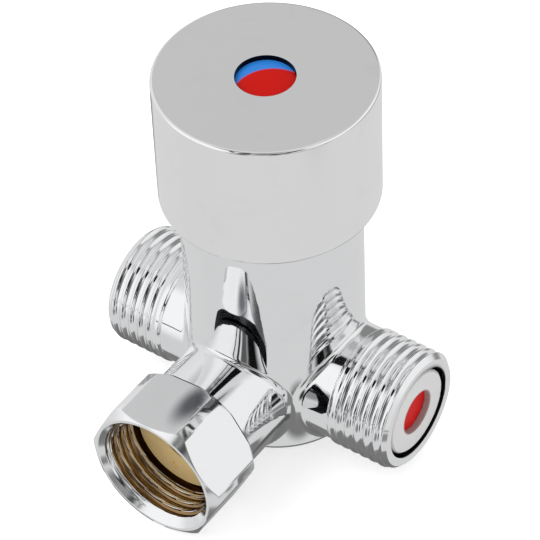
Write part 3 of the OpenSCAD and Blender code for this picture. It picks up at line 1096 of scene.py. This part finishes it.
@dataclass
class UnionNut:
    """Loose hexagon union nut with its inside thread."""

    flats: float = 23.0
    turn_deg: float = 3.8
    corner_cut: float = 0.5
    corner_edge: float = 0.35
    crisp_edge: float = 0.08
    back: float = 23.6
    front: float = 35.3
    lip_r: float = 7.38
    lip_end: float = 25.4
    relief_r: float = 10.13
    thread_start: float = 28.0
    minor_r: float = 9.3155
    mouth_r: float = 10.84
    thread: Thread = field(default_factory=lambda: Thread(land=0.36, depth=0.75))
    end_slope: float = 0.58
    back_flat: float = 0.3
    front_flat: float = -0.1
    end_zone: float = 1.6
    end_zone_r: float = 11.35
    thread_zone_r: tuple[float, float] = (9.0, 10.8)
    end_step: float = 0.1
    thread_step: float = 0.12
    margin: float = 0.01
    mouth_margin: float = 0.05
    segments: int = 360

    def build(self) -> Piece:
        """Builds the nut and lets it stand for the CAD node."""
        outline = rounded([
            (self.lip_r, self.back, 0.15),
            (self.flats / 2 + self.back_flat, self.back, 0.0),
            (self.rim, self.back + self.rise, 0.0),
            (self.rim, self.front - self.rise, 0.0),
            (self.flats / 2 + self.front_flat, self.front, 0.0),
            (self.mouth_r, self.front, 0.1),
            (self.minor_r, self.front - (self.mouth_r - self.minor_r), 0.0),
            (self.minor_r, self.thread_start, 0.0),
            (self.relief_r, self.thread_start, 0.0),
            (self.relief_r, self.lip_end, 0.2),
            (self.lip_r, self.lip_end, 0.1),
        ])
        inner, outer = self.thread_zone_r
        outline = divided(outline, self.end_step, lambda r, z: r > self.end_zone_r and not (
            self.back + self.end_zone <= z <= self.front - self.end_zone))
        outline = divided(outline, self.thread_step,
                          lambda r, z: inner < r < outer and z > self.thread_start)
        piece = new_object(turned(outline, self.segments), "union_nut_threaded")
        face_r = self.flats / 2 + self.front_flat - self.margin
        outside = Relief(self.outside, lambda r, z: r > face_r,
                         shade=lambda z, turn: self.outside(z, turn, crisp=True))
        inside = Relief(self.inside, self.in_thread, outward=-1.0)
        inner_normals, threaded = inside.carve(piece)
        outer_normals, faced = outside.carve(piece)
        even_normals(piece)
        shade_with(piece, np.where(faced[:, None], outer_normals, inner_normals),
                   faced | threaded)
        lay(piece, Heading.OUTLET)
        NUT_CHROME.dress(piece)
        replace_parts(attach(piece, "nut"), "union_nut")
        return piece

    @property
    def rim(self) -> float:
        """Radius to which the corners are turned."""
        return self.flats / math.sqrt(3) - self.corner_cut

    @property
    def rise(self) -> float:
        """Length of the turned chamfer at each end."""
        corner = self.flats / math.sqrt(3) - self.flats / 2
        return corner * self.end_slope - self.front_flat

    def outside(self, z: Array, turn: Array, crisp: bool = False) -> Array:
        """Radius of the hexagon with its turned ends.

        Args:
            z: distance along the port.
            turn: angle round the port in radians.
            crisp: leaves the corners sharp, as the light shows them.

        Returns:
            The radius at each place.
        """
        flat = self.flats / 2
        edge = self.crisp_edge if crisp else self.corner_edge
        rim = flat / math.cos(math.pi / 6) if crisp else self.rim
        sector = math.pi / 3
        off = np.abs((turn - math.radians(self.turn_deg) + sector / 2) % sector - sector / 2)
        hub = (flat - edge) / math.cos(sector / 2)
        swing = np.maximum(edge**2 - (hub * np.sin(off))**2, 0)
        arc = hub * np.cos(off) + np.sqrt(swing)
        plane = flat / np.cos(sector / 2 - off)
        hexagon = np.where(off < np.arctan2(edge / 2, hub + edge * math.cos(sector / 2)),
                           arc, plane)
        span = self.rim - flat
        ends = [flat + start + along * (span - start) / self.rise for start, along in (
            (self.back_flat, z - self.back), (self.front_flat, self.front - z))]
        cone = np.minimum(np.minimum(*ends), rim)
        return soft_min(hexagon, cone)

    def in_thread(self, r: Array, z: Array) -> Array:
        """Vertices that lie on the inside thread."""
        inner, outer = self.minor_r - self.margin, self.mouth_r - self.mouth_margin
        return (inner < r) & (r < outer) & (z > self.thread_start + self.margin)

    def inside(self, z: Array, turn: Array) -> Array:
        """Radius of the inside thread and its countersunk mouth.

        Args:
            z: distance along the port.
            turn: angle round the port in radians.

        Returns:
            The radius at each place.
        """
        groove = self.minor_r + self.thread.drop(z, turn)
        mouth = self.mouth_r - (self.front - z)
        return -soft_min(-groove, -mouth)


@dataclass
class Knob:
    """Satin chromed knob shell with its hub."""

    radius: float = 17.994
    recess_r: float = 4.8
    recess_z: float = 54.0
    web_z: float = 52.2
    screw_bore_r: float = 2.15
    hub_bore_r: float = 4.02
    hub_r: float = 7.4
    hub_z: float = 47.8
    cavity_r: float = 15.2
    ceiling_z: float = 56.2
    segments: int = 256

    def build(self) -> Piece:
        """Builds the knob and lets it stand for the CAD node."""
        low, high = node_box("control_knob")
        outline = rounded([
            (self.radius, low.z, 0.3),
            (self.radius, high.z, 0.5),
            (self.recess_r, high.z, 0.12),
            (self.recess_r, self.recess_z, 0.1),
            (self.screw_bore_r, self.recess_z, 0.1),
            (self.screw_bore_r, self.web_z, 0.1),
            (self.hub_bore_r, self.web_z, 0.1),
            (self.hub_bore_r, self.hub_z, 0.2),
            (self.hub_r, self.hub_z, 0.2),
            (self.hub_r, self.ceiling_z, 0.5),
            (self.cavity_r, self.ceiling_z, 0.8),
            (self.cavity_r, low.z, 0.3),
        ], steps=8)
        piece = new_object(turned(outline, self.segments), "knob_shell")
        even_normals(piece)
        KNOB_CHROME.dress(piece)
        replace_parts(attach(piece, "adjuster"), "control_knob")
        return piece


@dataclass(frozen=True)
class Coil:
    """Compression spring between two bodies.

    The spring is wound along its heading, from the end on `start` to the end on `end`.
    """

    node: str
    start: str
    end: str
    turns: int
    wire: float = 1.0
    heading: Heading = Heading.UP
    dead_turns: float = 0.75
    lay_pitch: float = 0.9
    steps_per_turn: int = 32
    wire_sides: int = 12

    def reach(self) -> tuple[float, float, float]:
        """Where the spring starts and ends along its heading, and its outer radius."""
        low, high = node_box(self.node)
        back = self.heading.matrix().inverted()
        ends = sorted(((back @ low).z, (back @ high).z))
        return ends[0], ends[1], (high.y - low.y) / 2

    def wind(self, bm: BMesh, ring: Ring, turns: float, rise: float) -> Ring:
        """Sweeps the last ring of wire on by some turns.

        Args:
            bm: the spring so far.
            ring: verts and edges of its last ring.
            turns: turns to add.
            rise: height that they add.

        Returns:
            The verts and edges of the new last ring.
        """
        steps = round(turns * self.steps_per_turn)
        swept = bmesh.ops.spin(bm, geom=ring, cent=(0, 0, 0), axis=(0, 0, 1),
                               dvec=(0, 0, rise / steps), angle=math.tau * turns,
                               steps=steps, use_duplicate=False)
        return swept["geom_last"]

    def build(self) -> Piece:
        """Builds the spring and replaces the CAD node."""
        first, last, outer_r = self.reach()
        bm = bmesh.new()
        turn = (Matrix.Translation((outer_r - self.wire / 2, 0, first + self.wire / 2))
                @ Matrix.Rotation(math.pi / 2, 4, "X"))
        bmesh.ops.create_circle(bm, segments=self.wire_sides, radius=self.wire / 2, matrix=turn)
        ring = bm.verts[:] + bm.edges[:]
        flat = self.dead_turns * self.wire * self.lay_pitch
        ring = self.wind(bm, ring, self.dead_turns, flat)
        ring = self.wind(bm, ring, self.turns - 2 * self.dead_turns,
                         last - first - self.wire - 2 * flat)
        self.wind(bm, ring, self.dead_turns, flat)
        bmesh.ops.holes_fill(bm, edges=[edge for edge in bm.edges if edge.is_boundary], sides=0)
        bmesh.ops.recalc_face_normals(bm, faces=bm.faces)
        piece = new_object(bm, f"{self.node}_coil")
        lay(piece, self.heading)
        even_normals(piece)
        SPRING_WIRE.dress(piece)
        along = self.heading.matrix().to_3x3() @ Vector((0, 0, 1))
        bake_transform(piece)
        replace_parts(piece, self.node)
        return piece


@dataclass
class Internals:
    """CAD nodes whose shape stays, under the finish of each."""

    finishes: dict[Finish, tuple[str, ...]] = field(default_factory=lambda: {
        BARE_BRASS: ("outlet_tail", "bonnet", "spindle", "overtravel_cup",
                     "overtravel_pusher", "wax_element"),
        PALE_PLASTIC: ("shuttle",),
        WHITE_PLASTIC: ("hot_check_housing", "cold_check_housing", "hot_check_guide",
                        "cold_check_guide"),
        RED_PLASTIC: ("hot_check_poppet",),
        BLUE_PLASTIC: ("cold_check_poppet",),
        SEAL_RUBBER: ("bonnet_oring", "spindle_oring", "shuttle_oring", "hot_check_oring",
                      "cold_check_oring"),
        PLATED_STEEL: ("spindle_clip", "overtravel_clip", "knob_screw", "element_piston"),
        CAP_PRINT: ("indicator_cap",),
    })

    def build(self) -> None:
        """Dresses the nodes and reports each."""
        for finish, names in self.finishes.items():
            for name in names:
                finish.dress(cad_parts[name])
                LOG.info("%s: CAD node dressed", name)


@dataclass(frozen=True)
class Panel:
    """Soft-edged light or dark patch of the surroundings, as metal sees it."""

    azimuth: float
    elevation: float
    half_width: float
    half_height: float
    level: float
    softness: float = 0.4
    tilt: float = 0.0

    def mask(self, sheet: NodeSheet, azimuth: Socket, height: Socket) -> Socket:
        """Adds the nodes of the patch.

        Args:
            sheet: the world's sheet.
            azimuth: azimuth of the ray in degrees, 0 towards -Y and 90 towards +X.
            height: elevation of the ray in degrees.

        Returns:
            A mask that is 1 inside the patch.
        """
        turn = math.radians(self.tilt)
        u = sheet.math("SUBTRACT", azimuth, self.azimuth)
        v = sheet.math("SUBTRACT", height, self.elevation)
        u_cos, v_cos = (sheet.math("MULTIPLY", way, math.cos(turn)) for way in (u, v))
        u_sin, v_sin = (sheet.math("MULTIPLY", way, math.sin(turn)) for way in (u, v))
        wide = sheet.math("DIVIDE", sheet.math("ADD", u_cos, v_sin), self.half_width)
        high = sheet.math("DIVIDE", sheet.math("SUBTRACT", v_cos, u_sin), self.half_height)
        squares = (sheet.math("POWER", way, 2.0) for way in (wide, high))
        reach = sheet.math("SQRT", sheet.math("ADD", *squares))
        return sheet.fade(reach, 1 - self.softness, 1 + self.softness)


@dataclass
class Studio:
    """Floor, world, lamp and camera."""

    azimuth_deg: float = 36.904
    elevation_deg: float = 44.417
    roll_deg: float = -2.611
    distance: float = 510.351
    aim: tuple[float, float, float] = (0.0, 0.0, 20.4)
    slide: tuple[float, float] = (0.561, 1.992)
    lens: float = 208.462
    sensor: float = 36.0
    clip: tuple[float, float] = (0.01, 10.0)
    floor_half: float = 900.0
    floor_gap: float = 1.7
    floor_level: float = 0.9
    floor_glow: float = 0.5
    ambient: float = 0.75
    key_energy: float = 0.9
    key_spread_deg: float = 40.0
    key_turn_deg: tuple[float, float, float] = (25.0, -30.0, 0.0)
    surround: tuple[tuple[float, float], ...] = (
        (-90, 0.16), (-62, 0.2), (-53, 0.26), (-50, 0.68), (-30, 0.7), (-10, 0.76), (30, 0.82),
        (60, 0.74), (90, 0.6),
    )
    panels: tuple[Panel, ...] = (
        Panel(-32, 20, 34, 40, 1.0, 0.3),
        Panel(122, 22, 42, 30, 0.92, 0.3),
        Panel(-160, 42, 34, 14, 0.56, 0.5),
        Panel(-155, 12, 20, 22, 0.25, 0.3),
        Panel(-42, -50, 24, 26, 0.68, 0.25),
        Panel(-28, -7, 12, 1.0, 0.12, tilt=-4),
        Panel(142, -15, 36, 10, 0.26),
        Panel(84, -36, 24, 5, 0.22, 0.3),
        Panel(88, -57, 32, 8, 0.2, 0.2),
        Panel(134, -54, 28, 5, 0.1, 0.3),
        Panel(50, -27, 13, 7, 0.28),
        Panel(41, -26, 4, 5, 0.06),
        Panel(36, 14, 24, 26, 0.3, 0.3),
        Panel(30, 37, 7, 9, 0.11, 0.3),
        Panel(43, 14, 7, 16, 0.006, 0.3),
        Panel(60, 26, 10, 16, 0.015, 0.3),
        Panel(15, 55, 2.5, 22, 0.03, tilt=-8),
        Panel(2, 31, 2.2, 39, 0.008, tilt=17),
        Panel(14, 30, 5, 24, 0.02, 0.3),
        Panel(14, -6, 5, 5, 0.005),
        Panel(4, 64, 52, 7, 0.01, 0.2),
        Panel(46, 57, 17, 5, 0.006, 0.15),
        Panel(53, -3, 2.5, 7, 0.01),
        Panel(66, -14.5, 10, 2, 0.01, tilt=17),
        Panel(89, -23, 7, 2, 0.01, tilt=15),
        Panel(68, -26.5, 4, 1.2, 0.02, tilt=14),
        Panel(8, -22, 10, 9, 0.05),
        Panel(138, 56, 38, 9, 0.5),
        Panel(-134, -38, 13, 5, 0.2),
    )
    shade_at: tuple[float, float] = (20.5, -15.0)
    shade_half: tuple[float, float, float] = (7.0, 6.0, 1.0)
    shade_fade: tuple[float, float] = (0.75, 1.15)
    shade_size: float = 1.2
    shade_gap: float = 1.6
    shade_level: float = 0.2

    def add_camera(self) -> None:
        """Adds the camera and makes it the scene's."""
        turn, rise = math.radians(self.azimuth_deg), math.radians(self.elevation_deg)
        roll = math.radians(self.roll_deg)
        back = Vector((math.sin(turn) * math.cos(rise), -math.cos(turn) * math.cos(rise),
                       math.sin(rise)))
        level = Vector((math.cos(turn), math.sin(turn), 0.0))
        upright = back.cross(level)
        right = math.cos(roll) * level + math.sin(roll) * upright
        up = -math.sin(roll) * level + math.cos(roll) * upright
        place = back * self.distance + Vector(self.aim)
        place -= right * self.slide[0] + up * self.slide[1]
        data = bpy.data.cameras.new("camera")
        data.lens, data.sensor_width = self.lens, self.sensor
        data.clip_start, data.clip_end = self.clip
        camera = bpy.data.objects.new("camera", data)
        bpy.context.scene.collection.objects.link(camera)
        pose = Matrix((right, up, back)).transposed().to_4x4()
        pose.translation = place * MM
        camera.matrix_world = pose
        bpy.context.scene.camera = camera

    def add_world(self) -> None:
        """White to the camera, a painted studio to metal, and even light to the rest."""
        world = bpy.data.worlds.new("studio")
        world.use_nodes = True
        sheet = NodeSheet(world.node_tree)
        ray = sheet.add("ShaderNodeLightPath").outputs
        look = sheet.add("ShaderNodeTexCoord").outputs["Generated"]
        x, y, z = sheet.add("ShaderNodeSeparateXYZ", look).outputs
        angles = (sheet.math("ARCTAN2", x, sheet.math("MULTIPLY", y, -1.0)),
                  sheet.math("ARCSINE", z))
        azimuth, height = (sheet.math("MULTIPLY", angle, math.degrees(1)) for angle in angles)
        shade = sheet.add("ShaderNodeValToRGB", sheet.remap(height, -90, 90))
        stops = shade.color_ramp.elements
        stops.remove(stops[-1])
        for i, (elevation, level) in enumerate(self.surround):
            at = (elevation + 90) / 180
            stop = stops.new(at) if i else stops[0]
            stop.position, stop.color = at, (level, level, level, 1.0)
        colour = shade.outputs[0]
        for panel in self.panels:
            colour = sheet.mix(panel.mask(sheet, azimuth, height), colour, (panel.level,) * 3)
        seen = sheet.math("MAXIMUM", ray["Is Glossy Ray"], ray["Is Transmission Ray"])
        colour = sheet.mix(seen, (self.ambient,) * 3, colour)
        colour = sheet.mix(ray["Is Camera Ray"], colour, (1.0,) * 3)
        light = sheet.add("ShaderNodeBackground", Color=colour)
        sheet.add("ShaderNodeOutputWorld", Surface=light.outputs[0])
        bpy.context.scene.world = world

    def card(self, name: str, segments: int, size: float, stretch: Sequence[float],
             at: Sequence[float]) -> Piece:
        """Adds a level card.

        Args:
            name: name of the card.
            segments: squares along each side.
            size: half its side before stretching.
            stretch: factor along each axis.
            at: its middle.

        Returns:
            The card.
        """
        bm = bmesh.new()
        bmesh.ops.create_grid(bm, x_segments=segments, y_segments=segments, size=size)
        bmesh.ops.scale(bm, vec=stretch, verts=bm.verts)
        bmesh.ops.translate(bm, vec=at, verts=bm.verts)
        return new_object(bm, name)

    def add_floor(self) -> None:
        """Adds the pale floor that the valve stands on."""
        level = node_box("valve_body")[0].z - self.floor_gap
        floor = self.card("floor", 4, self.floor_half, (1, 1, 1), (0, 0, level))
        sheet = MaterialSheet("studio_floor")
        base = sheet.add("ShaderNodeBsdfDiffuse", Color=(self.floor_level,) * 3)
        ray = sheet.add("ShaderNodeLightPath").outputs
        shiny = sheet.math("MAXIMUM", ray["Is Glossy Ray"], ray["Is Transmission Ray"])
        seen = sheet.math("MAXIMUM", ray["Is Camera Ray"], shiny)
        glow = sheet.add("ShaderNodeEmission",
                         Strength=sheet.remap(seen, 0.0, 1.0, 0.0, self.floor_glow))
        both = sheet.add("ShaderNodeAddShader", base.outputs[0], glow.outputs[0])
        sheet.put(sheet.surface, both.outputs[0])
        floor.data.materials.append(sheet.material)
        floor.visible_glossy = False

    def add_shade(self) -> None:
        """Adds the shaded patch of floor beside the hot inlet, as metal sees it."""
        middle = (*self.shade_at, node_box("valve_body")[0].z - self.shade_gap)
        shade = self.card("floor_shade", 1, self.shade_size, self.shade_half, middle)
        sheet = MaterialSheet("studio_shade")
        dark = sheet.add("ShaderNodeEmission", Color=(self.shade_level,) * 3)
        clear = sheet.add("ShaderNodeBsdfTransparent")
        look = sheet.add("ShaderNodeTexCoord").outputs["Object"]
        off = sheet.vector("SUBTRACT", look, [c * MM for c in middle])
        share = sheet.vector("DIVIDE", off, [c * MM for c in self.shade_half])
        mask = sheet.fade(sheet.vector("LENGTH", share), *self.shade_fade)
        both = sheet.add("ShaderNodeMixShader", mask, clear.outputs[0], dark.outputs[0])
        sheet.put(sheet.surface, both.outputs[0])
        shade.data.materials.append(sheet.material)
        shade.visible_camera = shade.visible_diffuse = shade.visible_shadow = False

    def add_lamp(self) -> None:
        """Adds the broad soft lamp that gives plastic its shading."""
        data = bpy.data.lights.new("soft_key", "SUN")
        data.energy, data.angle = self.key_energy, math.radians(self.key_spread_deg)
        lamp = bpy.data.objects.new("soft_key", data)
        bpy.context.scene.collection.objects.link(lamp)
        lamp.rotation_euler = [math.radians(a) for a in self.key_turn_deg]
        lamp.visible_glossy = False

    def build(self) -> None:
        """Sets up the whole studio."""
        bpy.context.scene.view_settings.view_transform = "Standard"
        self.add_camera()
        self.add_world()
        self.add_floor()
        self.add_shade()
        self.add_lamp()


def main() -> None:
    """Builds every sub-assembly in order and reports each piece."""
    Studio().build()
    for assembly in (Casting(), InletThread(Heading.HOT, phase=-0.23), InletThread(Heading.COLD),
                     UnionNut(), Knob(),
                     Coil("return_spring", "valve", "sensor", turns=7),
                     Coil("overtravel_spring", "thrust", "regulator", turns=4),
                     Coil("hot_check_spring", "valve", "hot_poppet", turns=5, wire=0.6,
                          heading=Heading.HOT),
                     Coil("cold_check_spring", "valve", "cold_poppet", turns=5, wire=0.6,
                          heading=Heading.COLD)):
        piece = assembly.build()
        LOG.info("%s: %d faces", piece.name, len(piece.data.polygons))
    Internals().build()


if __name__ == "__main__":
    logging.basicConfig(level=logging.INFO, format="%(message)s")
    main()
